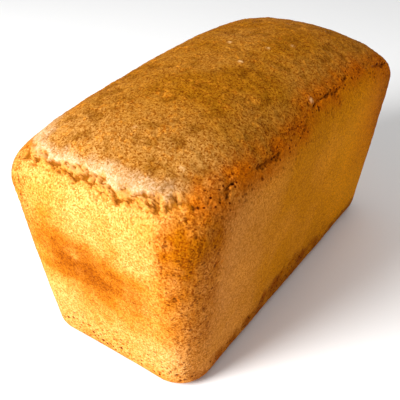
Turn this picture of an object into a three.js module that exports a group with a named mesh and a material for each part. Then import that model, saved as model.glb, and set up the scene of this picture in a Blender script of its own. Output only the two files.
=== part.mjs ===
// Tin loaf: one baked piece with tapered walls, rounded corners and a domed crown.
//
// Millimetres, +Z up. The origin is the middle of the flat base, X runs along the
// loaf and Y across it. The skin is one closed mesh: a grid over the crown, rings of
// points down the walls, and a flat base.

import * as THREE from 'three';

// Driving dimensions.
const LENGTH = 220; // along X, where the crown starts: a one kilogram tin
const WIDTH = 110; // along Y, at the same height
const WALL_HEIGHT = 93; // from the base to where the crown starts
const CROWN_RISE = 36; // from there to the top of the crown
const WALL_DRAFT = 8.5; // how far each wall leans in on its way down to the base
const CORNER_RADIUS = 17; // upright corners, at the top of the walls
const BASE_EDGE_RADIUS = 7; // between the walls and the base

// The crown's height is the product of two profiles, (1 - |t|^power)^(1 / root), with
// t from -1 to 1: flat in the middle, and steep where it meets the walls.
const CROWN_ALONG = { power: 3.0, root: 2.36 };
const CROWN_ACROSS = { power: 1.96, root: 2.99 };
const CROWN_TILT = { along: 0.04, across: 0.02 }; // the far end rose a little more

// The shred: the rough split between the crown and the walls, where the crust tore
// as the dough rose out of the tin.
const SHRED_HEIGHT = 109; // above the base
const SHRED_WANDER = 2.2; // how far it strays up and down
const SHRED_LONG_WAVE = { length: 82, phase: 0.8, share: 0.6 }; // of that straying, along X
const SHRED_SHORT_WAVE = { length: 46, share: 0.4 }; // and askew to X
const SHRED_DROP = 5; // how much lower it runs round the corners
const SHRED_HALF_WIDTH = 2.0;
const SHRED_DEPTH = 1.3;
const LIP_HEIGHT = 0.4; // the crust stands proud just above the shred
const LIP_OFFSET = 4.0; // from the middle of the shred up to the lip

// Slow unevenness of the crust.
const SWELL_HEIGHT = 0.7;
const SWELL_WAVES = {
  x: { length: 61, phase: 0.4 },
  y: { length: 43, phase: 1.1 },
  z: { length: 88, phase: 2.0 },
};
const SWELL_FADE = 14; // the walls are even below this height, so that the base stays flat

// Spacing of the mesh, measured along the skin.
const FINE_STEP = 2.7;
const FINE_SPAN = 27; // the steps are fine for this far in from the crown's edge
const COARSE_STEP = 9;
const WALL_STEP = 9.5;
const BASE_EDGE_STEPS = 4;
const PROFILE_SAMPLES = 4000; // used to measure the length of a crown profile

// The skin is pushed in and out along lines that leave this core box, which lies well
// inside the loaf.
const CORE_INSET = 35; // from the ends, the sides and the base
const CORE_DROP = 18; // from where the crown starts
const CORE = new THREE.Box3(
  new THREE.Vector3(CORE_INSET - LENGTH / 2, CORE_INSET - WIDTH / 2, CORE_INSET),
  new THREE.Vector3(LENGTH / 2 - CORE_INSET, WIDTH / 2 - CORE_INSET, WALL_HEIGHT - CORE_DROP),
);

const CRUST = { color: 0xb9782c, roughness: 0.75, metalness: 0 };

// A sine wave's value at a place along it.
function wave(place, { length, phase = 0 }) {
  return Math.sin((2 * Math.PI * place) / length + phase);
}

function profile(t, { power, root }) {
  return Math.pow(Math.max(1 - Math.pow(Math.abs(t), power), 0), 1 / root);
}

// Values of t from -1 to 1 whose points lie evenly along a crown profile, close
// together near the two edges and wider apart between them.
function stations(half, shape) {
  const t = [];
  const reach = [];
  for (let i = 0; i <= PROFILE_SAMPLES; i += 1) {
    t.push(Math.sin(Math.PI * (i / PROFILE_SAMPLES - 0.5)));
    if (i === 0) {
      reach.push(0);
    } else {
      const run = half * (t[i] - t[i - 1]);
      const rise = CROWN_RISE * (profile(t[i], shape) - profile(t[i - 1], shape));
      reach.push(reach[i - 1] + Math.hypot(run, rise));
    }
  }
  const total = reach[PROFILE_SAMPLES];
  const fineSteps = Math.round(FINE_SPAN / FINE_STEP);
  const coarseSteps = Math.round((total - 2 * FINE_SPAN) / COARSE_STEP);
  const targets = [];
  for (let i = 0; i < fineSteps; i += 1) {
    targets.push(i * FINE_STEP);
  }
  for (let i = 0; i <= coarseSteps; i += 1) {
    targets.push(FINE_SPAN + (i / coarseSteps) * (total - 2 * FINE_SPAN));
  }
  for (let i = fineSteps - 1; i >= 0; i -= 1) {
    targets.push(total - i * FINE_STEP);
  }
  return targets.map((target) => t[reach.findIndex((s) => s >= Math.min(target, total))]);
}

// A point of the square from -1 to 1 carried onto a rectangle with rounded corners.
// Only what lies past the corner's centre, in both directions, is drawn in.
function roundedPlan(u, v, halfLength, halfWidth, radius) {
  const x = Math.abs(u) * halfLength;
  const y = Math.abs(v) * halfWidth;
  const innerX = halfLength - radius;
  const innerY = halfWidth - radius;
  const pastX = Math.max(x - innerX, 0) / radius;
  const pastY = Math.max(y - innerY, 0) / radius;
  const drawnX = radius * pastX * Math.sqrt(1 - (pastY * pastY) / 2);
  const drawnY = radius * pastY * Math.sqrt(1 - (pastX * pastX) / 2);
  return new THREE.Vector2(
    Math.sign(u) * (Math.min(x, innerX) + drawnX),
    Math.sign(v) * (Math.min(y, innerY) + drawnY),
  );
}

function crownPoint(u, v) {
  const plan = roundedPlan(u, v, LENGTH / 2, WIDTH / 2, CORNER_RADIUS);
  const tilt = 1 + CROWN_TILT.along * u + CROWN_TILT.across * v;
  const rise = CROWN_RISE * profile(u, CROWN_ALONG) * profile(v, CROWN_ACROSS) * tilt;
  return new THREE.Vector3(plan.x, plan.y, WALL_HEIGHT + rise);
}

function wallPoint(u, v, z) {
  const lean = WALL_DRAFT * (1 - z / WALL_HEIGHT);
  const below = Math.max(BASE_EDGE_RADIUS - z, 0);
  const inset = BASE_EDGE_RADIUS - Math.sqrt(BASE_EDGE_RADIUS ** 2 - below ** 2);
  const halfLength = LENGTH / 2 - lean - inset;
  const halfWidth = WIDTH / 2 - lean - inset;
  const plan = roundedPlan(u, v, halfLength, halfWidth, CORNER_RADIUS - inset);
  return new THREE.Vector3(plan.x, plan.y, z);
}

// How far the shred's middle lies above the base, at a place on the skin.
function shredHeight(p) {
  const wander = SHRED_LONG_WAVE.share * wave(p.x, SHRED_LONG_WAVE)
    + SHRED_SHORT_WAVE.share * wave(p.x - p.y, SHRED_SHORT_WAVE);
  const towardsCorner = Math.abs(p.x / (LENGTH / 2)) ** 6 * Math.abs(p.y / (WIDTH / 2)) ** 4;
  return SHRED_HEIGHT + SHRED_WANDER * wander - SHRED_DROP * towardsCorner;
}

// How far the crust stands out from the smooth shape (below 0: how far in).
function relief(p) {
  const swell = wave(p.x, SWELL_WAVES.x) * wave(p.y, SWELL_WAVES.y) * wave(p.z, SWELL_WAVES.z);
  const above = p.z - shredHeight(p);
  const split = Math.exp(-((above / SHRED_HALF_WIDTH) ** 2));
  const lip = Math.exp(-(((above - LIP_OFFSET) / SHRED_HALF_WIDTH) ** 2));
  const fade = THREE.MathUtils.smoothstep(p.z, 0, SWELL_FADE);
  return fade * SWELL_HEIGHT * swell - SHRED_DEPTH * split + LIP_HEIGHT * lip;
}

function pushed(p) {
  const core = CORE.clampPoint(p, new THREE.Vector3());
  const outward = p.clone().sub(core).normalize();
  return p.clone().addScaledVector(outward, relief(p));
}

function loafGeometry() {
  const vertices = [];
  const triangles = [];
  const addVertex = (p) => vertices.push(p.x, p.y, p.z) / 3 - 1;
  const addQuad = (a, b, c, d) => triangles.push(a, b, c, a, c, d);

  // Crown: a grid of points, and its border as a ring, anticlockwise from above.
  const along = stations(LENGTH / 2, CROWN_ALONG);
  const across = stations(WIDTH / 2, CROWN_ACROSS);
  const grid = along.map((u) => across.map((v) => addVertex(pushed(crownPoint(u, v)))));
  const lastU = along.length - 1;
  const lastV = across.length - 1;
  for (let i = 0; i < lastU; i += 1) {
    for (let j = 0; j < lastV; j += 1) {
      addQuad(grid[i][j], grid[i + 1][j], grid[i + 1][j + 1], grid[i][j + 1]);
    }
  }
  const border = [
    ...along.slice(0, -1).map((u, i) => [i, 0]),
    ...across.slice(0, -1).map((v, j) => [lastU, j]),
    ...along.slice(1).map((u, i) => [lastU - i, lastV]),
    ...across.slice(1).map((v, j) => [0, lastV - j]),
  ];

  // Walls: rings from the crown's border down to the base.
  const levels = [];
  const wallSteps = Math.round((WALL_HEIGHT - BASE_EDGE_RADIUS) / WALL_STEP);
  for (let i = 1; i <= wallSteps; i += 1) {
    levels.push(WALL_HEIGHT - (i / wallSteps) * (WALL_HEIGHT - BASE_EDGE_RADIUS));
  }
  for (let i = 1; i <= BASE_EDGE_STEPS; i += 1) {
    const angle = (Math.PI / 2) * (i / BASE_EDGE_STEPS);
    levels.push(i === BASE_EDGE_STEPS ? 0 : BASE_EDGE_RADIUS * (1 - Math.sin(angle)));
  }
  let upper = border.map(([i, j]) => grid[i][j]);
  for (const z of levels) {
    const lower = border.map(([i, j]) => addVertex(pushed(wallPoint(along[i], across[j], z))));
    for (let k = 0; k < border.length; k += 1) {
      const next = (k + 1) % border.length;
      addQuad(lower[k], lower[next], upper[next], upper[k]);
    }
    upper = lower;
  }

  // Base: flat, fanned out from its middle.
  const middle = addVertex(new THREE.Vector3(0, 0, 0));
  for (let k = 0; k < border.length; k += 1) {
    triangles.push(middle, upper[(k + 1) % border.length], upper[k]);
  }

  const geometry = new THREE.BufferGeometry();
  geometry.setAttribute('position', new THREE.Float32BufferAttribute(vertices, 3));
  geometry.setIndex(triangles);
  geometry.computeVertexNormals();
  return geometry;
}

const loaf = new THREE.Mesh(loafGeometry(), new THREE.MeshStandardMaterial(CRUST));
loaf.name = 'loaf';

const tinLoaf = new THREE.Group();
tinLoaf.add(loaf);

export default tinLoaf;
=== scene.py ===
import itertools
import math
from typing import NamedTuple

import bpy
import numpy as np
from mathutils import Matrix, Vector


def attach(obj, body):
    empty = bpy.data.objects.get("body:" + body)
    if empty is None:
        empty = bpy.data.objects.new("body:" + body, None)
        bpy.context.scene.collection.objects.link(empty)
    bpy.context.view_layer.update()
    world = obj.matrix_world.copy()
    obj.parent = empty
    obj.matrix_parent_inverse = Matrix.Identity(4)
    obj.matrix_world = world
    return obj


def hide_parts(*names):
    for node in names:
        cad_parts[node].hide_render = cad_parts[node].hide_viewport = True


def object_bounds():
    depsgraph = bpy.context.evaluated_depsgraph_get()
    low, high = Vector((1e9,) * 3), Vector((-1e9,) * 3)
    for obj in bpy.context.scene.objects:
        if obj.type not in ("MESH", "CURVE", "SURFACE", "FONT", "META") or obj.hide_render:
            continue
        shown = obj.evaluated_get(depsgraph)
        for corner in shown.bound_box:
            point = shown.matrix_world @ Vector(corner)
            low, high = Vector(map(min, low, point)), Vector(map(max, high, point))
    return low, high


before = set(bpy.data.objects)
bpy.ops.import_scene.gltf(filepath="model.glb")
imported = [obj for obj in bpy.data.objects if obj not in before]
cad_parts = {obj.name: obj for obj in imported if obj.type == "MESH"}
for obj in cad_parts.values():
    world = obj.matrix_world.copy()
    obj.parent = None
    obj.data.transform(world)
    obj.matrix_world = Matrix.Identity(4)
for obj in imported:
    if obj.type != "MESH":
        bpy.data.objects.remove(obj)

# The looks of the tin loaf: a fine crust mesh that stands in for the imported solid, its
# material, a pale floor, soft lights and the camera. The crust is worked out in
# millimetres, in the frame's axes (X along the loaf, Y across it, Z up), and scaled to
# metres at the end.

CAD_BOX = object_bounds()
MM = 0.001
SIZE = (CAD_BOX[1] - CAD_BOX[0]) / MM

# ---------------------------------------------------------------- driving dimensions

# The plain shape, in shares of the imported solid's box.
HALF_LENGTH = 0.4985 * SIZE.x
HALF_WIDTH = 0.498 * SIZE.y
WALL_HEIGHT = 0.7185 * SIZE.z
CROWN_RISE = 0.278 * SIZE.z
WALL_DRAFT = 0.077 * SIZE.y
CORNER_RADIUS = 0.157 * SIZE.y
BASE_EDGE_RADIUS = 0.0625 * SIZE.y

# The crown's height is the product of two profiles, (1 - |t|^power)^(1 / root), each
# given as its power and root. The tilt makes it a little higher towards +X and +Y.
CROWN_ALONG = (3.0, 2.36)
CROWN_ACROSS = (1.96, 2.99)
CROWN_TILT = (0.04, 0.02)

# The shred: the torn band between the crown and the walls.
SHRED_HEIGHT = 0.842 * SIZE.z
SHRED_WANDER = 1.6
SHRED_DROP = 3.0
# On the side at -Y the shred climbs about the loaf's middle and falls towards +X.
SHRED_CLIMB = 5.0
SHRED_FALL = 9.0

# The foot: the dark, open-pored band just above the base, highest along the sides.
FOOT_HEIGHT = 12.0
FOOT_SWELL = 13.0
FOOT_MIDDLE = -0.04 * SIZE.x
BASE_HOLLOW = 0.5

# Mesh steps, in millimetres along the skin, and how far in from the crown's edge they
# are fine. BASE_STRIDE is the base's step, in steps of the crown.
COARSE_STEP = 1.2
FINE_STEP = 0.6
FINE_FROM = 10.0
FINE_TO = 24.0
WALL_STEP = 1.5
FOOT_STEP = 0.85
FOOT_TOP = FOOT_HEIGHT + FOOT_SWELL
BASE_STRIDE = 4
PROFILE_SAMPLES = 20001

# ---------------------------------------------------------------- repeatable noise

# What scatter mixes the numbers of a cell and a seed with.
HASH_PRIMES = (73856093, 19349663, 83492791)
HASH_SEED_PRIME = 2654435761
HASH_MIXER = 0x45D9F3B
HASH_SHIFT = 16
HASH_MASK = 0xFFFFFFFF

LAYER_SEED_STEP = 10
NOISE_GAIN = 1.6
# The distance, in radii, given where there is no pore nearby.
NO_PORE = 9.0


class Pattern(NamedTuple):
    """Noise with features about length millimetres across, in finer and fainter layers."""

    length: float
    seed: int
    layers: int = 1


class PoreKind(NamedTuple):
    """Round pores, one in a share of the cells of a grid, with radii between two limits."""

    cell: float
    share: float
    radii: tuple
    seed: int


def smoothstep(low, high, value):
    t = np.clip((value - low) / (high - low), 0, 1)
    return t * t * (3 - 2 * t)


def bump(value, width):
    """1 at 0, falling smoothly to nothing over a few widths."""
    return np.exp(-((value / width) ** 2))


def scatter(cells, seed):
    """A repeatable value from 0 to 1 for each whole-numbered cell."""
    x, y, z = (cells[..., k].astype(np.int64) * HASH_PRIMES[k] for k in range(3))
    h = (x ^ y ^ z ^ (seed * HASH_SEED_PRIME)) & HASH_MASK
    for _ in range(2):
        h = ((h ^ (h >> HASH_SHIFT)) * HASH_MIXER) & HASH_MASK
    return (h ^ (h >> HASH_SHIFT)) / HASH_MASK


def noise(points, length, seed):
    """Smooth noise from about -1 to 1, with features about length across."""
    scaled = points / length
    cell = np.floor(scaled).astype(np.int64)
    part = scaled - cell
    ease = part ** 3 * (part * (part * 6 - 15) + 10)
    total = np.zeros(len(points))
    for corner in itertools.product((0, 1), repeat=3):
        at = cell + np.array(corner)
        slope = np.stack([scatter(at, 3 * seed + k) for k in range(3)], axis=-1) * 2 - 1
        reach = ((part - corner) * slope).sum(axis=-1)
        share = np.where(corner, ease, 1 - ease).prod(axis=-1)
        total += share * reach
    return NOISE_GAIN * total


def drawn(points, pattern):
    """The pattern's value at each point."""
    total = 0
    for k in range(pattern.layers):
        seed = pattern.seed + LAYER_SEED_STEP * k
        total = total + noise(points, pattern.length / 2 ** k, seed) / 2 ** k
    return total


def warped(points, pattern, reach):
    """The points moved about smoothly, which makes what is drawn at them irregular."""
    length, seed = pattern.length, pattern.seed
    return points + reach * np.stack([noise(points, length, seed + k) for k in range(3)], axis=-1)


def pores(points, kind):
    """Distance to the nearest pore's middle, over its radius."""
    home = np.floor(points / kind.cell).astype(np.int64)
    least, most = kind.radii
    nearest = np.full(len(points), NO_PORE)
    for step in itertools.product((-1, 0, 1), repeat=3):
        at = home + np.array(step)
        offset = np.stack([scatter(at, kind.seed + k) for k in range(3)], axis=-1)
        centre = (at + offset) * kind.cell
        radius = least + (most - least) * scatter(at, kind.seed + 3)
        there = scatter(at, kind.seed + 4) < kind.share
        gap = np.linalg.norm(points - centre, axis=-1) / radius
        nearest = np.minimum(nearest, np.where(there, gap, NO_PORE))
    return nearest


def bowl(gap):
    """Depth from 0 to 1 of a round pore, from the distance over its radius."""
    return np.clip(1 - gap * gap, 0, 1)


# ---------------------------------------------------------------- the plain shape


def profile(t, shape):
    power, root = shape
    return np.clip(1 - np.abs(t) ** power, 0, None) ** (1 / root)


def stations(half, shape):
    """Values from -1 to 1 that lie at the mesh's steps along a crown profile."""
    t = np.sin(np.linspace(-math.pi / 2, math.pi / 2, PROFILE_SAMPLES))
    leaps = np.hypot(half * np.diff(t), CROWN_RISE * np.diff(profile(t, shape)))
    reach = np.concatenate([[0], np.cumsum(leaps)])
    from_edge = [0.0]
    while from_edge[-1] < FINE_TO:
        fine = from_edge[-1] >= FINE_FROM
        from_edge.append(from_edge[-1] + (FINE_STEP if fine else COARSE_STEP))
    edge = np.array(from_edge)
    count = round((reach[-1] - 2 * edge[-1]) / COARSE_STEP)
    middle = np.linspace(edge[-1], reach[-1] - edge[-1], count + 1)[1:-1]
    places = np.concatenate([edge, middle, reach[-1] - edge[::-1]])
    return np.interp(places, reach, t), places


def rounded_plan(u, v, half_length, half_width, radius):
    """Carries the square from -1 to 1 onto a rectangle with rounded corners."""
    x = np.abs(u) * half_length
    y = np.abs(v) * half_width
    past_x = np.clip(x - (half_length - radius), 0, None) / radius
    past_y = np.clip(y - (half_width - radius), 0, None) / radius
    drawn_x = radius * past_x * np.sqrt(1 - past_y ** 2 / 2)
    drawn_y = radius * past_y * np.sqrt(1 - past_x ** 2 / 2)
    return (
        np.sign(u) * (np.minimum(x, half_length - radius) + drawn_x),
        np.sign(v) * (np.minimum(y, half_width - radius) + drawn_y),
    )


def crown_points(u, v):
    x, y = rounded_plan(u, v, HALF_LENGTH, HALF_WIDTH, CORNER_RADIUS)
    tilt = 1 + CROWN_TILT[0] * u + CROWN_TILT[1] * v
    rise = CROWN_RISE * profile(u, CROWN_ALONG) * profile(v, CROWN_ACROSS) * tilt
    return np.stack([x, y, WALL_HEIGHT + rise], axis=-1)


def wall_points(u, v, z):
    lean = WALL_DRAFT * (1 - z / WALL_HEIGHT)
    below = np.clip(BASE_EDGE_RADIUS - z, 0, None)
    inset = BASE_EDGE_RADIUS - np.sqrt(BASE_EDGE_RADIUS ** 2 - below ** 2)
    x, y = rounded_plan(
        u, v, HALF_LENGTH - lean - inset, HALF_WIDTH - lean - inset, CORNER_RADIUS - inset
    )
    return np.stack([x, y, np.broadcast_to(z, x.shape)], axis=-1)


def wall_levels():
    """Heights of the rings of points down the walls and round the base edge."""
    count = round((WALL_HEIGHT - FOOT_TOP) / WALL_STEP)
    down = np.linspace(WALL_HEIGHT, FOOT_TOP, count + 1)[1:]
    count = round((FOOT_TOP - BASE_EDGE_RADIUS) / FOOT_STEP)
    foot = np.linspace(FOOT_TOP, BASE_EDGE_RADIUS, count + 1)[1:]
    turns = round(BASE_EDGE_RADIUS * math.pi / 2 / FOOT_STEP)
    angles = np.linspace(0, math.pi / 2, turns + 1)[1:]
    edge = BASE_EDGE_RADIUS * (1 - np.sin(angles))
    edge[-1] = 0
    return np.concatenate([down, foot, edge])


# ---------------------------------------------------------------- the mesh

# The bake map: the gap between its islands in millimetres, and its margin as a share.
ATLAS_GAP = 5.0
ATLAS_MARGIN = 0.005


class LoafMesh:
    """Points, faces and bake map of the plain loaf: crown grid, wall rings and base grid."""

    def __init__(self):
        self.u, self.along = stations(HALF_LENGTH, CROWN_ALONG)
        self.v, self.across = stations(HALF_WIDTH, CROWN_ACROSS)
        self.levels = wall_levels()
        self.points = []
        self.faces = []
        self.map = []
        self.count = 0
        self.add_crown()
        self.add_walls()
        self.add_base()
        self.points = np.concatenate(self.points)

    def add_points(self, points):
        first = self.count
        flat = points.reshape(-1, 3)
        self.points.append(flat)
        self.count += len(flat)
        return np.arange(first, self.count).reshape(points.shape[:-1])

    def add_quads(self, corners, places):
        """corners: four arrays of point numbers; places: their four arrays of (x, y) on the map."""
        numbers = np.stack([c.ravel() for c in corners], axis=-1)
        self.faces.extend(numbers.tolist())
        self.map.append(np.stack([p.reshape(-1, 2) for p in places], axis=1).reshape(-1, 2))

    def add_crown(self):
        u, v = np.meshgrid(self.u, self.v, indexing="ij")
        grid = self.add_points(crown_points(u, v))
        places = np.stack(np.meshgrid(self.along, self.across, indexing="ij"), axis=-1)
        low, high = slice(None, -1), slice(1, None)
        order = [(low, low), (high, low), (high, high), (low, high)]
        self.add_quads([grid[o] for o in order], [places[o] for o in order])
        self.crown_size = places[-1, -1]
        last_u, last_v = len(self.u) - 1, len(self.v) - 1
        self.border = (
            [(i, 0) for i in range(last_u)]
            + [(last_u, j) for j in range(last_v)]
            + [(i, last_v) for i in range(last_u, 0, -1)]
            + [(0, j) for j in range(last_v, 0, -1)]
        )
        self.rim = np.array([grid[ij] for ij in self.border])

    def add_walls(self):
        at = np.array(self.border)
        u, v = self.u[at[:, 0]], self.v[at[:, 1]]
        rings = [self.rim]
        for z in self.levels:
            rings.append(self.add_points(wall_points(u, v, z)))
        rings = np.array(rings)
        self.foot = rings[-1]
        closed = np.concatenate([rings, rings[:, :1]], axis=1)
        outline = wall_points(np.append(u, u[0]), np.append(v, v[0]), WALL_HEIGHT)
        run = np.linalg.norm(np.diff(outline, axis=0), axis=-1)
        run = np.concatenate([[0], np.cumsum(run)])
        fall = wall_points(np.array(0.0), np.array(-1.0), np.append(WALL_HEIGHT, self.levels))
        drop = np.linalg.norm(np.diff(fall, axis=0), axis=-1)
        drop = np.concatenate([[0], np.cumsum(drop)])
        across, down = np.meshgrid(run, drop)
        top = self.crown_size[1] + ATLAS_GAP
        half = len(self.border) // 2
        for part, columns in enumerate((slice(0, half + 1), slice(half, None))):
            base_y = top + part * (drop[-1] + ATLAS_GAP)
            places = np.stack([across - run[columns][0], base_y + drop[-1] - down], axis=-1)
            ring, place = closed[:, columns], places[:, columns]
            order = [(1, 0), (1, 1), (0, 1), (0, 0)]
            corners = [ring[a:len(ring) - 1 + a, b:ring.shape[1] - 1 + b] for a, b in order]
            spots = [place[a:len(ring) - 1 + a, b:ring.shape[1] - 1 + b] for a, b in order]
            self.add_quads(corners, spots)

    def add_base(self):
        """A coarser grid, whose outer cells take in every point of the walls' last ring."""
        number = dict(zip(self.border, self.foot.tolist()))
        rows = sorted({*range(0, len(self.u), BASE_STRIDE), len(self.u) - 1})
        columns = sorted({*range(0, len(self.v), BASE_STRIDE), len(self.v) - 1})
        inner = [(i, j) for i in rows[1:-1] for j in columns[1:-1]]
        at = np.array(inner)
        spots = wall_points(self.u[at[:, 0]], self.v[at[:, 1]], np.array(0.0))
        number.update(zip(inner, self.add_points(spots).tolist()))
        ends_u, ends_v = (0, len(self.u) - 1), (0, len(self.v) - 1)

        def walk(start, stop):
            """Grid places from start up to stop, with all between them on the border."""
            (i, j), (k, m) = start, stop
            if j == m and j in ends_v:
                return [(n, j) for n in range(i, k, 1 if k > i else -1)]
            if i == k and i in ends_u:
                return [(i, n) for n in range(j, m, 1 if m > j else -1)]
            return [start]

        places = []
        left = self.crown_size[0] + ATLAS_GAP + HALF_WIDTH
        for i, k in zip(rows, rows[1:]):
            for j, m in zip(columns, columns[1:]):
                around = [(i, j), (i, m), (k, m), (k, j)]
                path = [p for a, b in zip(around, around[1:] + around[:1]) for p in walk(a, b)]
                self.faces.append([number[p] for p in path])
                places.extend(path)
        at = np.array(places)
        flat = wall_points(self.u[at[:, 0]], self.v[at[:, 1]], np.array(0.0))
        self.map.append(np.stack([left + flat[:, 1], HALF_LENGTH + flat[:, 0]], axis=-1))

    def bake_map(self):
        places = np.concatenate(self.map)
        places -= places.min(axis=0)
        return ATLAS_MARGIN + places / places.max() * (1 - 2 * ATLAS_MARGIN)


def make_mesh(name, points, faces):
    mesh = bpy.data.meshes.new(name)
    mesh.from_pydata(points * MM, [], faces)
    mesh.update()
    return mesh


def normals_of(points, faces):
    """Smooth normals of the plain shape at its points."""
    mesh = make_mesh("measure", points, faces)
    found = np.empty(len(points) * 3, np.float32)
    mesh.vertex_normals.foreach_get("vector", found)
    bpy.data.meshes.remove(mesh)
    return found.reshape(-1, 3).astype(float)


# ---------------------------------------------------------------- crust relief

# Patterns that set where the regions of the crust end.
WANDER = Pattern(length=27, seed=1)
WAVER = Pattern(length=9, seed=2)
WAVER_SHARE = 0.6
FOOT_EDGE = Pattern(length=9, seed=25, layers=3)
FOOT_EDGE_RISE = 6
STRIP_EDGE = Pattern(length=9, seed=26, layers=3)
STRIP_EDGE_RISE = 6

# Regions. A pair is where a smooth step begins and where it ends: in millimetres, or in
# half lengths for a place along X.
END_LEAN = (0.4, 0.6)
FRONT_ALONG = (0.1, -0.1)
BELOW_TILT = (-0.5, -0.9)
CORNER_POWERS = (6, 4)
CLIMB_ALONG = (-0.2, 0.0)
FALL_ALONG = (0.45, 0.95)
LEAST_STEEP = 0.15
CROWN_ABOVE = (-1.0, 2.0)
UPRIGHT_STEP = (0.25, 0.9)
UPRIGHT_EDGE_GAIN = 2
UPRIGHT_CORNER_GAIN = 3
FOOT_REACH = 55
FOOT_LEAST = 4
FOOT_FADE = 0.6
OFF_BASE = (0, 6)
LOW_HEIGHT = (30, 11)
# The strip of crown above the shred at -X carries a painted highlight: a cream sheen.
STRIP_WIDTH = 16
STRIP_LEAST = 6
STRIP_SOLID = 3
STRIP_ACROSS = (-47, -20)
STRIP_ROUND_CORNER = (5, 25)
STRIP_ALONG = (-0.6, -0.8)
TINY = 1e-6

# The skin, away from the shred.
SWELL = Pattern(length=60, seed=11)
SWELL_HEIGHT = 0.6
RIPPLE = Pattern(length=24, seed=12)
RIPPLE_HEIGHT = 0.25
WRINKLE = Pattern(length=6.5, seed=21, layers=2)
DIMPLE = Pattern(length=7.0, seed=22, layers=3)
PEBBLE = Pattern(length=2.6, seed=23, layers=2)
RUGGED = Pattern(length=4.5, seed=24, layers=3)
CROWN_DIMPLES = 0.28
CROWN_WRINKLES = 0.34
WRINKLE_LEVEL = 0.7
CROWN_PEBBLES = 0.17
WALL_DIMPLES = 0.07
WALL_PEBBLES = 0.08
UPRIGHT_RUGGED = 0.35
RUGGED_LEVEL = 0.5

# The shred on the ends: a torn band of lumps and burst bubbles under a lip.
RAGGED = Pattern(length=4.2, seed=31, layers=3)
STRETCH = Pattern(length=19, seed=32)
CRUMB = Pattern(length=2.8, seed=33, layers=2)
SHRED_WARP = Pattern(length=3.6, seed=60)
SHRED_WARP_REACH = 0.8
LUMPS = PoreKind(cell=2.9, share=1.0, radii=(1.4, 2.5), seed=34)
BUBBLES = PoreKind(cell=2.6, share=0.75, radii=(0.6, 1.3), seed=35)
TORN_WIDTH = 3.6
TORN_STRETCH = 1.3
TORN_RAGGED = 2.4
TORN_MIDDLE = 0.4
TORN_EDGE = (-0.8, 0.8)
TORN_DEPTH = 0.2
ARC_STEP = (0.13, 0.04)
ARC_DEPTH = 0.6
# The arcs and crevices are painted dark by these shares: painted shade in the torn band.
ARC_SHADE = 0.75
CREVICE_STEP = (0.88, 0.98)
CREVICE_DEPTH = 0.9
CREVICE_SHADE = 0.7
BUBBLE_DEPTH = 1.2
DOME_HEIGHT = 0.15
LIP_HEIGHT = 0.5
LIP_REACH = 1.6
LIP_EVEN = 0.6
LIP_RAGGED = 0.5

# The shred along the sides: a well-baked band with specks, creases and broken cracks. It
# is fainter towards the end at -X, and most of all on the side at +Y.
BAND_UP = 12
BAND_RAGGED = 3
BAND_DOWN = 7.5
PALE_ACROSS = (0, 20)
PALE_ALONG = (-0.35, -0.75)
PALE_END_ALONG = (-0.78, -0.93)
PALE_END_SHARE = 0.65
SPECKS = PoreKind(cell=2.6, share=0.5, radii=(0.5, 1.1), seed=36)
SPECK_BAND = (0.45, 0.8)
SPECK_DEPTH = 0.7
GAPE = Pattern(length=15, seed=37)
GAPE_STEP = (-0.1, 0.3)
GAPE_WIDTH = 1.1
GAPE_RAGGED = 0.8
CRACK_STRAY = 1.1
CRACK_EDGE = (-0.35, 0.45)
CRACK_GAPE = (0.05, 0.3)
CRACK_EVEN = 0.55
CRACK_CRUMB = 0.6
CRACK_DEPTH = 1.3
CREASE_HEIGHT = 0.5
CREASE_LEVEL = 0.4

# Open pores and nicks.
PORE_WARP = Pattern(length=3.0, seed=70)
PORE_WARP_REACH = 0.5
LOW_PORES = PoreKind(cell=3.6, share=0.6, radii=(0.7, 1.3), seed=41)
LOW_PORE_STEP = (0.3, 0.6)
WALL_PORES = PoreKind(cell=7.5, share=0.4, radii=(0.35, 0.75), seed=42)
WALL_PORE_SHARE = 0.7
CROWN_PORES = PoreKind(cell=9.0, share=0.3, radii=(0.4, 0.8), seed=44)
CROWN_PORE_SHARE = 0.6
NICKS = PoreKind(cell=13.0, share=0.3, radii=(1.6, 2.8), seed=45)
NICK_FLATTENING = 1.5
NICK_UPRIGHT = (0.3, 0.7)
PORE_DEPTH = 0.8
PORE_FLOOR = (0.3, 1.5)

BLISTERS = PoreKind(cell=9.0, share=0.15, radii=(0.7, 1.0), seed=46)
BLISTER_HEIGHT = 0.5
BASE_HOLLOW_RIM = (1, 20)


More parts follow.
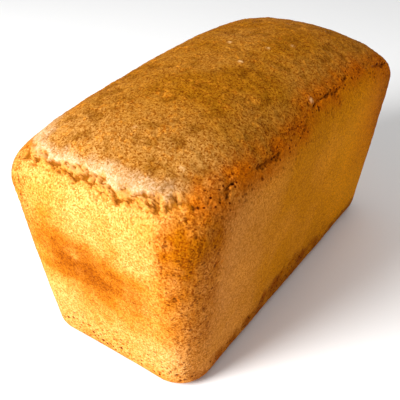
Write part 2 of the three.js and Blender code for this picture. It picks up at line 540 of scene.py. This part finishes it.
class Crust:
    """Where each point lies on the loaf, and how the crust stands out there."""

    def __init__(self, points, normals):
        self.p = points
        self.n = normals
        self.flat = points * [1, 1, 0]
        self.along = points[:, 0] / HALF_LENGTH
        self.mark_faces()
        self.mark_shred()
        self.mark_foot()
        self.mark_sheen_strip()
        # Painted shade: how dark the hollows (pores, cracks, crevices, burst bubbles) are painted,
        # gathered as the relief is made.
        self.painted_shade = np.zeros(len(points))

    def mark_faces(self):
        """Shares from 0 to 1 of lying on an end, a side, the base or near a corner."""
        lean = np.abs(self.n[:, :2])
        self.end = smoothstep(*END_LEAN, lean[:, 0] / (lean.sum(axis=-1) + TINY))
        self.front = smoothstep(*FRONT_ALONG, self.along)
        self.side = 1 - self.end
        self.below = smoothstep(*BELOW_TILT, self.n[:, 2])
        self.corner = (np.abs(self.p[:, 0]) / HALF_LENGTH) ** CORNER_POWERS[0] * (
            np.abs(self.p[:, 1]) / HALF_WIDTH
        ) ** CORNER_POWERS[1]
        edge = UPRIGHT_EDGE_GAIN * np.minimum(self.end, self.side)
        self.upright = smoothstep(*UPRIGHT_STEP, edge + UPRIGHT_CORNER_GAIN * self.corner)
        self.off_base = smoothstep(*OFF_BASE, self.p[:, 2])

    def mark_shred(self):
        """Distance above the shred's middle, measured up the skin, and the crown above it."""
        wander = drawn(self.flat, WANDER) + WAVER_SHARE * drawn(self.flat, WAVER)
        near = self.side * (self.p[:, 1] < 0)
        climb = SHRED_CLIMB * smoothstep(*CLIMB_ALONG, self.along)
        climb = climb - SHRED_FALL * smoothstep(*FALL_ALONG, self.along)
        drift = SHRED_WANDER * wander + climb * near
        middle = SHRED_HEIGHT + drift - SHRED_DROP * self.corner
        steep = np.sqrt(np.clip(1 - self.n[:, 2] ** 2, LEAST_STEEP, None))
        self.above = (self.p[:, 2] - middle) / steep
        self.crown = smoothstep(*CROWN_ABOVE, self.above)

    def mark_foot(self):
        """The foot, and the low part of the ends, which has as many pores."""
        swell = FOOT_SWELL * bump(self.p[:, 0] - FOOT_MIDDLE, FOOT_REACH)
        top = FOOT_HEIGHT + self.side * swell
        top = np.clip(top + FOOT_EDGE_RISE * drawn(self.p, FOOT_EDGE), FOOT_LEAST, None)
        self.foot = smoothstep(top, FOOT_FADE * top, self.p[:, 2]) * (1 - self.below)
        self.low = self.end * smoothstep(*LOW_HEIGHT, self.p[:, 2]) * (1 - self.below)

    def mark_sheen_strip(self):
        """The strip of crown just above the shred at the end at -X, painted pale cream as a
        highlight: a painted sheen.
        """
        patchy = STRIP_WIDTH + STRIP_EDGE_RISE * drawn(self.p, STRIP_EDGE)
        patchy = np.clip(patchy, STRIP_LEAST, None)
        self.strip = smoothstep(patchy, STRIP_SOLID, self.above)
        self.strip *= smoothstep(*STRIP_ACROSS, self.p[:, 1])
        around = np.maximum(self.end, smoothstep(*STRIP_ROUND_CORNER, self.p[:, 1]))
        self.strip *= self.crown * around * smoothstep(*STRIP_ALONG, self.along)

    def swell(self):
        slow = SWELL_HEIGHT * drawn(self.p, SWELL) + RIPPLE_HEIGHT * drawn(self.p, RIPPLE)
        return slow * self.off_base

    def skin(self):
        """Wrinkled, dimpled skin on the crown and a finer pebble on the walls."""
        self.wrinkle = 1 - np.abs(drawn(self.p, WRINKLE))
        self.dimple = drawn(self.p, DIMPLE)
        pebble = drawn(self.p, PEBBLE)
        rugged = RUGGED_LEVEL - np.abs(drawn(self.p, RUGGED))
        crown = CROWN_DIMPLES * self.dimple
        crown = crown + CROWN_WRINKLES * (self.wrinkle - WRINKLE_LEVEL) + CROWN_PEBBLES * pebble
        walls = WALL_DIMPLES * self.dimple + WALL_PEBBLES * pebble
        walls = walls + UPRIGHT_RUGGED * self.upright * rugged
        return (self.crown * crown + (1 - self.crown) * walls) * self.off_base

    def shred(self):
        ragged = drawn(self.p, RAGGED)
        crumb = np.abs(drawn(self.p, CRUMB))
        spots = warped(self.p, SHRED_WARP, SHRED_WARP_REACH)
        return self.torn_ends(spots, ragged, crumb) + self.cracked_sides(spots, ragged, crumb)

    def torn_ends(self, spots, ragged, crumb):
        """Lumps and burst bubbles in a torn band, with a lip above it."""
        lump = pores(spots, LUMPS)
        burst = bowl(pores(spots, BUBBLES))
        domes = bowl(lump) * (1 - burst)
        arcs = smoothstep(*ARC_STEP, crumb)
        crevice = smoothstep(*CREVICE_STEP, lump)
        width = TORN_WIDTH + TORN_STRETCH * drawn(self.flat, STRETCH) + TORN_RAGGED * ragged
        inside = width - np.abs(self.above - TORN_MIDDLE)
        self.torn = self.end * smoothstep(*TORN_EDGE, inside)
        self.domes = self.torn * domes
        cells = TORN_DEPTH + ARC_DEPTH * arcs + CREVICE_DEPTH * crevice
        cells = cells + BUBBLE_DEPTH * burst - DOME_HEIGHT * domes
        lip = bump(self.above - np.clip(width, 0, None) - LIP_REACH, LIP_REACH)
        lip *= LIP_HEIGHT * self.end * (LIP_EVEN + LIP_RAGGED * ragged)
        # The burst bubbles, crevices and arcs are painted dark as well: painted shade.
        shade = np.maximum.reduce([burst, CREVICE_SHADE * crevice, ARC_SHADE * arcs])
        self.painted_shade = np.maximum(self.painted_shade, self.torn * shade)
        return lip - self.torn * cells

    def cracked_sides(self, spots, ragged, crumb):
        """Specks, creases and broken cracks in a well-baked band."""
        reach = np.where(self.above > 0, BAND_UP + BAND_RAGGED * ragged, BAND_DOWN)
        pale = smoothstep(*PALE_ACROSS, self.p[:, 1]) * smoothstep(*PALE_ALONG, self.along)
        pale = np.maximum(pale, PALE_END_SHARE * smoothstep(*PALE_END_ALONG, self.along))
        self.band = self.side * bump(self.above, reach) * (1 - pale)
        specks = bowl(pores(spots, SPECKS)) * smoothstep(*SPECK_BAND, self.band)
        gape = smoothstep(*GAPE_STEP, drawn(self.flat, GAPE))
        gape = gape * (GAPE_WIDTH + GAPE_RAGGED * ragged)
        inside = gape - np.abs(self.above + CRACK_STRAY * ragged)
        crack = self.side * smoothstep(*CRACK_EDGE, inside)
        crack *= smoothstep(*CRACK_GAPE, gape) * (CRACK_EVEN + CRACK_CRUMB * crumb)
        creased = CREASE_HEIGHT * self.band * (CREASE_LEVEL - crumb)
        # The specks and cracks are painted dark: painted shade.
        self.painted_shade = np.maximum.reduce([self.painted_shade, specks, crack])
        return creased - SPECK_DEPTH * specks - CRACK_DEPTH * crack

    def holes(self):
        """Open pores, most of them low on the loaf, and nicks on the upright edges."""
        spots = warped(self.p, PORE_WARP, PORE_WARP_REACH)
        low = smoothstep(*LOW_PORE_STEP, np.maximum(self.foot, self.low))
        walls = 1 - self.crown
        flattened = spots * [1, 1, NICK_FLATTENING]
        nick = bowl(pores(flattened, NICKS)) * smoothstep(*NICK_UPRIGHT, self.upright)
        depth = np.maximum.reduce([
            bowl(pores(spots, LOW_PORES)) * low,
            WALL_PORE_SHARE * bowl(pores(spots, WALL_PORES)) * walls,
            CROWN_PORE_SHARE * bowl(pores(spots, CROWN_PORES)) * self.crown,
            nick * walls,
        ])
        # The pores and nicks are painted dark: painted shade.
        self.painted_shade = np.maximum(self.painted_shade, depth)
        return -PORE_DEPTH * depth * smoothstep(*PORE_FLOOR, self.p[:, 2])

    def blisters(self):
        """A few pale blisters on the crown."""
        self.pale = self.crown * bump(pores(self.p, BLISTERS), 1.0)
        return BLISTER_HEIGHT * self.pale

    def moved(self):
        """The points moved out or in by the relief, with a hollow in the base."""
        out = self.swell() + self.skin() + self.shred() + self.holes() + self.blisters()
        place = self.p + self.n * out[:, None]
        rim = WALL_DRAFT + BASE_EDGE_RADIUS
        inside_x = HALF_LENGTH - rim - np.abs(self.p[:, 0])
        inside_y = HALF_WIDTH - rim - np.abs(self.p[:, 1])
        hollow = smoothstep(*BASE_HOLLOW_RIM, inside_x) * smoothstep(*BASE_HOLLOW_RIM, inside_y)
        place[:, 2] += BASE_HOLLOW * self.below * hollow
        place[:, 2] = np.clip(place[:, 2], 0, None)
        return place


# ---------------------------------------------------------------- crust colours

# Linear colours of the crust.
# The cream below is a painted highlight: the sheen on the strip of crown above the shred at -X.
SHEEN_CREAM = (0.60, 0.39, 0.19)
PALE_GOLD = (0.72, 0.305, 0.064)
STRAW = (0.70, 0.350, 0.090)
GOLD = (0.60, 0.200, 0.010)
ORANGE = (0.38, 0.102, 0.001)
EMBER = (0.285, 0.067, 0.001)
# The amber below paints shade into the hollows of the torn band.
SHADE_AMBER = (0.40, 0.132, 0.006)
OCHRE = (0.325, 0.114, 0.003)
SAND = (0.43, 0.195, 0.040)
UMBER = (0.19, 0.060, 0.001)
TAN = (0.52, 0.178, 0.002)
# The mauve below is partly a painted reflection: its blue stands for the sheen of the pale
# surroundings on the sides.
MAUVE_SHEEN = (0.56, 0.210, 0.036)
OLIVE = (0.72, 0.255, 0.001)
BURNT = (0.50, 0.115, 0.001)
RUSSET = (0.29, 0.068, 0.001)
# The dark below paints shade deep in the pores and cracks.
SHADE_DARK = (0.09, 0.018, 0.001)
BLISTER = (0.90, 0.55, 0.22)

# Unevenness of the colours.
BLOTCH = Pattern(length=30, seed=51, layers=3)
MOTTLE = Pattern(length=9, seed=52, layers=3)

# The sides, from one end to the other. Pairs are smooth steps, as for the relief.
# The mauve towards -X is partly a painted reflection of the pale surroundings.
MAUVE_SHEEN_ALONG = (-0.1, -0.9)
OLIVE_ALONG = (-0.1, 0.7)
SIDE_BLOTCH = 0.35
SCORCHED_ALONG = (0.35, 0.9)
SCORCHED_HEIGHT = (20, 80)
SCORCHED_SHARE = 0.85

# The ends: gold, with a warm patch in the middle of the one at -X. The patch lies
# aslant: it is higher towards +Y.
PALE_GOLD_SHARE = 0.35
PALE_GOLD_FRONT = 0.65
PATCH_HEIGHT = 60
PATCH_SLANT = 0.15
PATCH_BLOTCH = 5
WARM_WIDTH = 52
WARM_REACH = 27
EMBER_MIDDLE = 8
EMBER_WIDTH = 30
EMBER_REACH = 16
EMBER_SHARE = 1.05
EMBER_MOTTLE = 0.6
GOLD_SHARE = 0.15
GOLD_BLOTCH = 0.4
GOLD_MOTTLE = 0.25
GOLD_WARM = 0.9
ORANGE_SHARE = 0.15
STRAW_ACROSS = (-8, -30)
STRAW_BELOW = (45, 20)
STRAW_ABOVE = (4, 16)
STRAW_SHARE = 0.7

# The upright edges and the foot.
NEAR_ACROSS = (12, -12)
EDGE_LOW_SHARE = 0.35
EDGE_HEIGHT = (8, 55)
EDGE_TOP_HEIGHT = (70, 95)
EDGE_ORANGE = 0.25
EDGE_NEAR = 0.4
EDGE_MOTTLE = 0.3
EDGE_TOP = 0.3
FOOT_END_SHARE = 0.35
FOOT_END_MOTTLE = (0.6, 0.8)
FOOT_SIDE_MOTTLE = (0.68, 0.6)

# The crown.
SAND_ALONG = (-0.35, -0.85)
CROWN_GOLD_ALONG = (0.2, 0.9)
CROWN_GOLD_SHARE = 0.3
UMBER_SHARE = 0.20
UMBER_MOTTLE = 0.32
UMBER_BLOTCH = 0.18
SAND_FRONT = 0.45
SAND_SHARE = 0.10
SAND_BLOTCH = 0.2
RIDGE_STEP = (0.86, 1.0)
RIDGE_SHARE = 0.5
RIDGE_MOTTLE = 0.6
DIMPLE_STEP = (-0.1, -0.7)
DIMPLE_SHARE = 0.7
# The strip's cream is a painted highlight, a sheen on the crown's shoulder.
SHEEN_STRIP_SHARE = 0.85
STRIP_MOTTLE = (0.85, 0.4)

# The shred, the pores and the base. The dark in the pores, cracks and crevices is painted shade.
BAND_MOTTLE = (0.8, 0.5)
TORN_GOLD = 0.5
# The lumps' tops in the torn band are painted paler: a painted highlight.
DOME_HIGHLIGHT_STEP = (0.2, 0.8)
DOME_HIGHLIGHT_SHARE = 0.5
TORN_PIT_STEP = (0.25, 0.6)
TORN_PIT_SHARE = 0.95
PIT_STEP = (0.1, 0.45)
PIT_SHARE = 0.75
DEEP_STEP = (0.45, 0.85)
DEEP_SHARE = 0.85
DEEP_TORN = 0.1
BOTTOM_MOTTLE = (0.4, 0.5)


def mixed(base, colour, share):
    share = np.clip(share, 0, 1)[:, None]
    return base * (1 - share) + np.array(colour) * share


def plain(colour, count):
    return np.tile(np.array(colour), (count, 1))


def uneven(limits, mottle):
    """A share that is even, the first value, and that grows with the mottle by the second."""
    even, growth = limits
    return even + growth * mottle


def side_colours(c, blotch):
    """Tan, turning mauve towards one end, the mauve partly a painted reflection of the pale
    surroundings, and olive towards the other, which is scorched.
    """
    colour = plain(TAN, len(c.p))
    colour = mixed(colour, MAUVE_SHEEN, smoothstep(*MAUVE_SHEEN_ALONG, c.along) + SIDE_BLOTCH * blotch)
    colour = mixed(colour, OLIVE, smoothstep(*OLIVE_ALONG, c.along) + SIDE_BLOTCH * blotch)
    scorched = smoothstep(*SCORCHED_ALONG, c.along) * smoothstep(*SCORCHED_HEIGHT, c.p[:, 2])
    return mixed(colour, BURNT, SCORCHED_SHARE * c.side * scorched)


def wall_colours(c, blotch, mottle):
    """The sides' colours, gold ends with a warm patch on one, orange edges and a dark foot."""
    y, z = c.p[:, 1], c.p[:, 2]
    front = c.end * c.front
    colour = side_colours(c, blotch)
    colour = mixed(colour, PALE_GOLD, c.end * (PALE_GOLD_SHARE + PALE_GOLD_FRONT * c.front))
    rise = z - PATCH_HEIGHT - PATCH_SLANT * y
    warm = bump(y, WARM_WIDTH) * bump(rise, WARM_REACH + PATCH_BLOTCH * blotch) * front
    patch = bump(rise, EMBER_REACH + PATCH_BLOTCH * blotch)
    patch = patch * bump(y - EMBER_MIDDLE, EMBER_WIDTH) * front
    gold = GOLD_SHARE + GOLD_BLOTCH * blotch + GOLD_MOTTLE * mottle
    colour = mixed(colour, GOLD, c.end * gold + GOLD_WARM * warm)
    colour = mixed(colour, ORANGE, ORANGE_SHARE * (warm + c.end * mottle))
    colour = mixed(colour, EMBER, patch * (EMBER_SHARE + EMBER_MOTTLE * mottle))
    pale = smoothstep(*STRAW_ACROSS, y) * smoothstep(*STRAW_BELOW, z)
    pale = front * pale * smoothstep(*STRAW_ABOVE, z)
    colour = mixed(colour, STRAW, STRAW_SHARE * pale)
    upright = EDGE_LOW_SHARE + (1 - EDGE_LOW_SHARE) * smoothstep(*EDGE_HEIGHT, z)
    orange = EDGE_ORANGE + EDGE_NEAR * smoothstep(*NEAR_ACROSS, y)
    orange = orange + EDGE_MOTTLE * mottle + EDGE_TOP * smoothstep(*EDGE_TOP_HEIGHT, z)
    colour = mixed(colour, ORANGE, c.upright * upright * orange)
    end_foot = FOOT_END_SHARE * c.end * c.foot * uneven(FOOT_END_MOTTLE, mottle)
    colour = mixed(colour, BURNT, end_foot)
    return mixed(colour, RUSSET, c.side * c.foot * uneven(FOOT_SIDE_MOTTLE, mottle))


def crown_colours(c, blotch, mottle):
    """Brown and mottled, with pale wrinkles and a painted highlight: a cream strip of sheen just
    above the shred at -X.
    """
    colour = plain(OCHRE, len(c.p))
    umber = UMBER_SHARE + UMBER_MOTTLE * mottle + UMBER_BLOTCH * blotch
    colour = mixed(colour, UMBER, umber)
    colour = mixed(colour, GOLD, CROWN_GOLD_SHARE * smoothstep(*CROWN_GOLD_ALONG, c.along))
    sand = SAND_FRONT * smoothstep(*SAND_ALONG, c.along) + SAND_SHARE - SAND_BLOTCH * blotch
    colour = mixed(colour, SAND, sand)
    ridges = RIDGE_SHARE * smoothstep(*RIDGE_STEP, c.wrinkle)
    colour = mixed(colour, GOLD, ridges * (RIDGE_MOTTLE + mottle))
    colour = mixed(colour, UMBER, DIMPLE_SHARE * smoothstep(*DIMPLE_STEP, c.dimple))
    # Painted highlight: the cream sheen on the strip above the shred.
    return mixed(colour, SHEEN_CREAM, SHEEN_STRIP_SHARE * c.strip * uneven(STRIP_MOTTLE, mottle))


def crust_colours(c):
    blotch = drawn(c.p, BLOTCH)
    mottle = drawn(c.p, MOTTLE)
    walls = wall_colours(c, blotch, mottle)
    crown = crown_colours(c, blotch, mottle)
    share = c.crown[:, None]
    colour = walls * (1 - share) + crown * share
    colour = mixed(colour, BURNT, c.band * uneven(BAND_MOTTLE, mottle))
    colour = mixed(colour, GOLD, TORN_GOLD * c.torn)
    # Painted highlight: the tops of the lumps are painted paler.
    colour = mixed(colour, PALE_GOLD, DOME_HIGHLIGHT_SHARE * smoothstep(*DOME_HIGHLIGHT_STEP, c.domes))
    colour = mixed(colour, BLISTER, c.pale)
    # Painted shade in the hollows: amber in the torn band, burnt and dark in the pores, specks and
    # cracks.
    torn_pit_shade = TORN_PIT_SHARE * smoothstep(*TORN_PIT_STEP, c.painted_shade) * c.torn
    colour = mixed(colour, SHADE_AMBER, torn_pit_shade)
    colour = mixed(colour, BURNT, PIT_SHARE * smoothstep(*PIT_STEP, c.painted_shade) * (1 - c.torn))
    deep_shade = smoothstep(*DEEP_STEP, c.painted_shade) * (DEEP_SHARE - DEEP_TORN * c.torn)
    colour = mixed(colour, SHADE_DARK, deep_shade)
    bottom = mixed(plain(ORANGE, len(c.p)), RUSSET, uneven(BOTTOM_MOTTLE, mottle))
    return mixed(colour, bottom, c.below)


# ---------------------------------------------------------------- material

# Grain: cells and noise, with features about so many millimetres across, in shares.
CELL_SIZE = 0.7
CELL_SHARE = 0.36
COARSE_SIZE = 1.0
COARSE_SHARE = 0.3
FINE_SIZE = 0.6
FINE_SHARE = 0.34
COARSE_DETAIL = 2.0
FINE_DETAIL = 1.0
NOISE_ROUGHNESS = 0.6
GRAIN_MIDDLE = 0.50
GRAIN_DARK = 0.35
GRAIN_LIGHT = 0.65
GRAIN_DARKER = (0.56, 0.36, 0.12)
GRAIN_LIGHTER = (1.38, 1.55, 2.4)
GRAIN_HEIGHT = 0.6
GRAIN_STRENGTH = 0.6

# Pinpricks: the size of their cells, and where each spot ends and is full, in cells. The
# chance is the step, in a cell's own random value, that gives the cell a spot.
SMALL_PINPRICKS = (2.6, 0.28, 0.19)
LARGE_PINPRICKS = (4.4, 0.23, 0.17)
PINPRICK_CHANCE = (0.35, 0.40)
PINPRICK_DARKER = (0.22, 0.10, 0.05)

CRUST_ROUGHNESS = 0.5
CRUST_ROUGHNESS_RANGE = 0.3
CRUST_SPECULAR = 0.01

FLOOR_CLOUD_SIZE = 400
FLOOR_CLOUD_DETAIL = 3.0
FLOOR_CLOUD_ROUGHNESS = 0.55
FLOOR_PALE = (0.93, 0.93, 0.925)
FLOOR_GREY = (0.90, 0.90, 0.90)
FLOOR_ROUGHNESS = 0.8
FLOOR_SPECULAR = 0.2


class Nodes:
    """Short names for the few kinds of node that the materials use."""

    def __init__(self, name):
        self.material = bpy.data.materials.new(name)
        self.material.use_nodes = True
        self.tree = self.material.node_tree
        self.shader = self.tree.nodes["Principled BSDF"]
        self.place = self.add("ShaderNodeTexCoord").outputs["Object"]

    def add(self, kind, **settings):
        node = self.tree.nodes.new(kind)
        for key, value in settings.items():
            setattr(node, key, value)
        return node

    def link(self, value, socket):
        if isinstance(value, bpy.types.NodeSocket):
            self.tree.links.new(value, socket)
        else:
            socket.default_value = value

    def noise(self, size, detail, roughness):
        """Noise from 0 to 1 with features about size millimetres across."""
        node = self.add("ShaderNodeTexNoise")
        self.link(self.place, node.inputs["Vector"])
        node.inputs["Scale"].default_value = 1 / (size * MM)
        node.inputs["Detail"].default_value = detail
        node.inputs["Roughness"].default_value = roughness
        return node.outputs["Fac"]

    def cells(self, size):
        """Cells size millimetres across: the distance to each one's middle, and a colour."""
        node = self.add("ShaderNodeTexVoronoi")
        self.link(self.place, node.inputs["Vector"])
        node.inputs["Scale"].default_value = 1 / (size * MM)
        return node.outputs["Distance"], node.outputs["Color"]

    def pinpricks(self, size, outer, inner):
        """1 in small round spots, in most of the cells, size millimetres across."""
        distance, colour = self.cells(size)
        spot = self.spread(distance, outer, inner)
        return self.math("MULTIPLY", spot, self.spread(colour, *PINPRICK_CHANCE))

    def math(self, operation, a, b):
        node = self.add("ShaderNodeMath", operation=operation)
        self.link(a, node.inputs[0])
        self.link(b, node.inputs[1])
        return node.outputs[0]

    def spread(self, value, low, high):
        """Carries low..high to 0..1 and clamps."""
        node = self.add("ShaderNodeMapRange")
        self.link(value, node.inputs["Value"])
        node.inputs["From Min"].default_value = low
        node.inputs["From Max"].default_value = high
        return node.outputs["Result"]

    def mix(self, share, a, b, blend="MIX"):
        node = self.add("ShaderNodeMix", data_type="RGBA", blend_type=blend)
        self.link(share, node.inputs["Factor"])
        colours = [s for s in node.inputs if s.type == "RGBA"]
        for socket, value in zip(colours, (a, b)):
            if not isinstance(value, bpy.types.NodeSocket):
                value = (*value, 1.0)
            self.link(value, socket)
        return next(s for s in node.outputs if s.type == "RGBA")

    def attribute(self, name, output="Fac"):
        return self.add("ShaderNodeAttribute", attribute_name=name).outputs[output]


def crust_material():
    n = Nodes("crust")
    colour = n.attribute("crust_colour", "Color")
    grain_share = n.attribute("grain")
    coarse = n.noise(COARSE_SIZE, COARSE_DETAIL, NOISE_ROUGHNESS)
    fine = n.noise(FINE_SIZE, FINE_DETAIL, NOISE_ROUGHNESS)
    cell_value = n.cells(CELL_SIZE)[1]
    speck = n.math(
        "ADD", n.math("MULTIPLY", cell_value, CELL_SHARE), n.math("MULTIPLY", coarse, COARSE_SHARE)
    )
    speck = n.math("ADD", speck, n.math("MULTIPLY", fine, FINE_SHARE))
    dark_share = n.math("MULTIPLY", n.spread(speck, GRAIN_MIDDLE, GRAIN_DARK), grain_share)
    light_share = n.math("MULTIPLY", n.spread(speck, GRAIN_MIDDLE, GRAIN_LIGHT), grain_share)
    toned = n.mix(dark_share, colour, n.mix(1.0, colour, GRAIN_DARKER, "MULTIPLY"))
    toned = n.mix(light_share, toned, n.mix(1.0, colour, GRAIN_LIGHTER, "MULTIPLY"))
    pinprick = n.math("MAXIMUM", n.pinpricks(*SMALL_PINPRICKS), n.pinpricks(*LARGE_PINPRICKS))
    pinprick = n.math("MULTIPLY", pinprick, n.attribute("porous"))
    toned = n.mix(pinprick, toned, n.mix(1.0, toned, PINPRICK_DARKER, "MULTIPLY"))
    n.link(toned, n.shader.inputs["Base Color"])
    rough = n.math("ADD", CRUST_ROUGHNESS, n.math("MULTIPLY", coarse, CRUST_ROUGHNESS_RANGE))
    n.link(rough, n.shader.inputs["Roughness"])
    n.shader.inputs["Specular IOR Level"].default_value = CRUST_SPECULAR
    bump_node = n.add("ShaderNodeBump")
    bump_node.inputs["Strength"].default_value = GRAIN_STRENGTH
    bump_node.inputs["Distance"].default_value = GRAIN_HEIGHT * MM
    n.link(speck, bump_node.inputs["Height"])
    n.link(bump_node.outputs["Normal"], n.shader.inputs["Normal"])
    return n.material


def floor_material():
    n = Nodes("floor")
    cloud = n.noise(FLOOR_CLOUD_SIZE, FLOOR_CLOUD_DETAIL, FLOOR_CLOUD_ROUGHNESS)
    n.link(n.mix(cloud, FLOOR_GREY, FLOOR_PALE), n.shader.inputs["Base Color"])
    n.shader.inputs["Roughness"].default_value = FLOOR_ROUGHNESS
    n.shader.inputs["Specular IOR Level"].default_value = FLOOR_SPECULAR
    return n.material


# ---------------------------------------------------------------- the loaf

# How much grain is lost on the walls, the torn shred and the strip of painted highlight, and
# how porous the crust is on the upright edges and where it is closed.
WALL_CALM = 0.2
SIDE_CALM = 0.2
TORN_CALM = 0.2
STRIP_CALM = 0.5
UPRIGHT_POROUS = 0.5
LEAST_POROUS = 0.22


def add_values(mesh, name, values):
    layer = mesh.attributes.new(name, "FLOAT", "POINT")
    layer.data.foreach_set("value", np.ascontiguousarray(values, np.float32))


def add_colours(mesh, name, colours):
    layer = mesh.color_attributes.new(name, "FLOAT_COLOR", "POINT")
    rgba = np.concatenate([colours, np.ones((len(colours), 1))], axis=1)
    layer.data.foreach_set("color", np.ascontiguousarray(rgba.ravel(), np.float32))


def grain_of(crust):
    walls = (1 - crust.crown) * (1 - crust.upright)
    grain = 1.0 - walls * (WALL_CALM + SIDE_CALM * crust.side)
    grain = grain - TORN_CALM * crust.torn - STRIP_CALM * crust.strip
    return np.clip(grain * (1 - crust.pale), 0, 1)


def porous_of(crust):
    places = [crust.foot, crust.low, crust.band, UPRIGHT_POROUS * crust.upright]
    porous = LEAST_POROUS + (1 - LEAST_POROUS) * np.maximum.reduce(places)
    return porous * (1 - crust.crown * (1 - crust.band))


def make_loaf():
    smooth = LoafMesh()
    crust = Crust(smooth.points, normals_of(smooth.points, smooth.faces))
    mesh = make_mesh("tin_loaf", crust.moved(), smooth.faces)
    add_colours(mesh, "crust_colour", crust_colours(crust))
    add_values(mesh, "grain", grain_of(crust))
    add_values(mesh, "porous", porous_of(crust))
    layer = mesh.uv_layers.new(name="OFBake")
    layer.data.foreach_set("uv", smooth.bake_map().ravel().astype(np.float32))
    mesh.shade_smooth()
    mesh.materials.append(crust_material())
    loaf = bpy.data.objects.new("tin_loaf", mesh)
    bpy.context.scene.collection.objects.link(loaf)
    return loaf


# ---------------------------------------------------------------- floor, lights, camera

# In metres.
FLOOR_REACH = 3.0
LIGHT_AIM_HEIGHT = 0.06

WORLD_STRENGTH = 0.33


def make_floor():
    corners = [(FLOOR_REACH * x, FLOOR_REACH * y, 0) for x, y in ((-1, -1), (1, -1), (1, 1), (-1, 1))]
    mesh = bpy.data.meshes.new("floor")
    mesh.from_pydata(corners, [], [(0, 1, 2, 3)])
    mesh.materials.append(floor_material())
    floor = bpy.data.objects.new("floor", mesh)
    bpy.context.scene.collection.objects.link(floor)
    return floor


def direction(azimuth, elevation):
    """Unit vector from the loaf, azimuth in degrees from +X towards +Y."""
    a, e = math.radians(azimuth), math.radians(elevation)
    return Vector((math.cos(a) * math.cos(e), math.sin(a) * math.cos(e), math.sin(e)))


def add_area(name, azimuth, elevation, distance, size, power):
    """A soft round light that faces the loaf. Distance and size are in metres."""
    light = bpy.data.lights.new(name, "AREA")
    light.shape = "DISK"
    light.size = size
    light.energy = power
    lamp = bpy.data.objects.new(name, light)
    towards = direction(azimuth, elevation)
    lamp.location = towards * distance + Vector((0, 0, LIGHT_AIM_HEIGHT))
    lamp.rotation_euler = towards.to_track_quat("Z", "Y").to_euler()
    bpy.context.scene.collection.objects.link(lamp)


def light_scene():
    add_area("key", azimuth=158, elevation=28, distance=1.0, size=0.5, power=20.0)
    add_area("fill", azimuth=-70, elevation=45, distance=1.4, size=1.0, power=1.6)
    add_area("overhead", azimuth=0, elevation=72, distance=1.3, size=1.0, power=3.6)
    world = bpy.data.worlds.new("studio")
    world.use_nodes = True
    background = world.node_tree.nodes["Background"]
    background.inputs["Color"].default_value = (1.0, 1.0, 1.0, 1.0)
    background.inputs["Strength"].default_value = WORLD_STRENGTH
    bpy.context.scene.world = world


# Angles in degrees, the distance in metres, the aim in shares of the box, and the lens
# and sensor in millimetres.
CAMERA_YAW = 34.76
CAMERA_PITCH = 35.21
CAMERA_DISTANCE = 1.495 * SIZE.x * MM
CAMERA_AIM = (-0.161, -0.069, 0.492)
CAMERA_LENS = 56.99
CAMERA_SENSOR = 36.0
CAMERA_NEAR_CLIP = 0.01


def add_camera():
    """Looks down on the loaf from beyond its corner at -X and -Y."""
    data = bpy.data.cameras.new("camera")
    data.lens = CAMERA_LENS
    data.sensor_width = CAMERA_SENSOR
    data.clip_start = CAMERA_NEAR_CLIP
    camera = bpy.data.objects.new("camera", data)
    aim = Vector([share * side * MM for share, side in zip(CAMERA_AIM, SIZE)])
    back = -direction(CAMERA_YAW, -CAMERA_PITCH)
    camera.location = aim + back * CAMERA_DISTANCE
    camera.rotation_euler = back.to_track_quat("Z", "Y").to_euler()
    bpy.context.scene.collection.objects.link(camera)
    bpy.context.scene.camera = camera


# ---------------------------------------------------------------- assembly

loaf = make_loaf()
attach(loaf, "root")
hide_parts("loaf")
make_floor()
light_scene()
add_camera()
bpy.context.scene.view_settings.view_transform = "Standard"
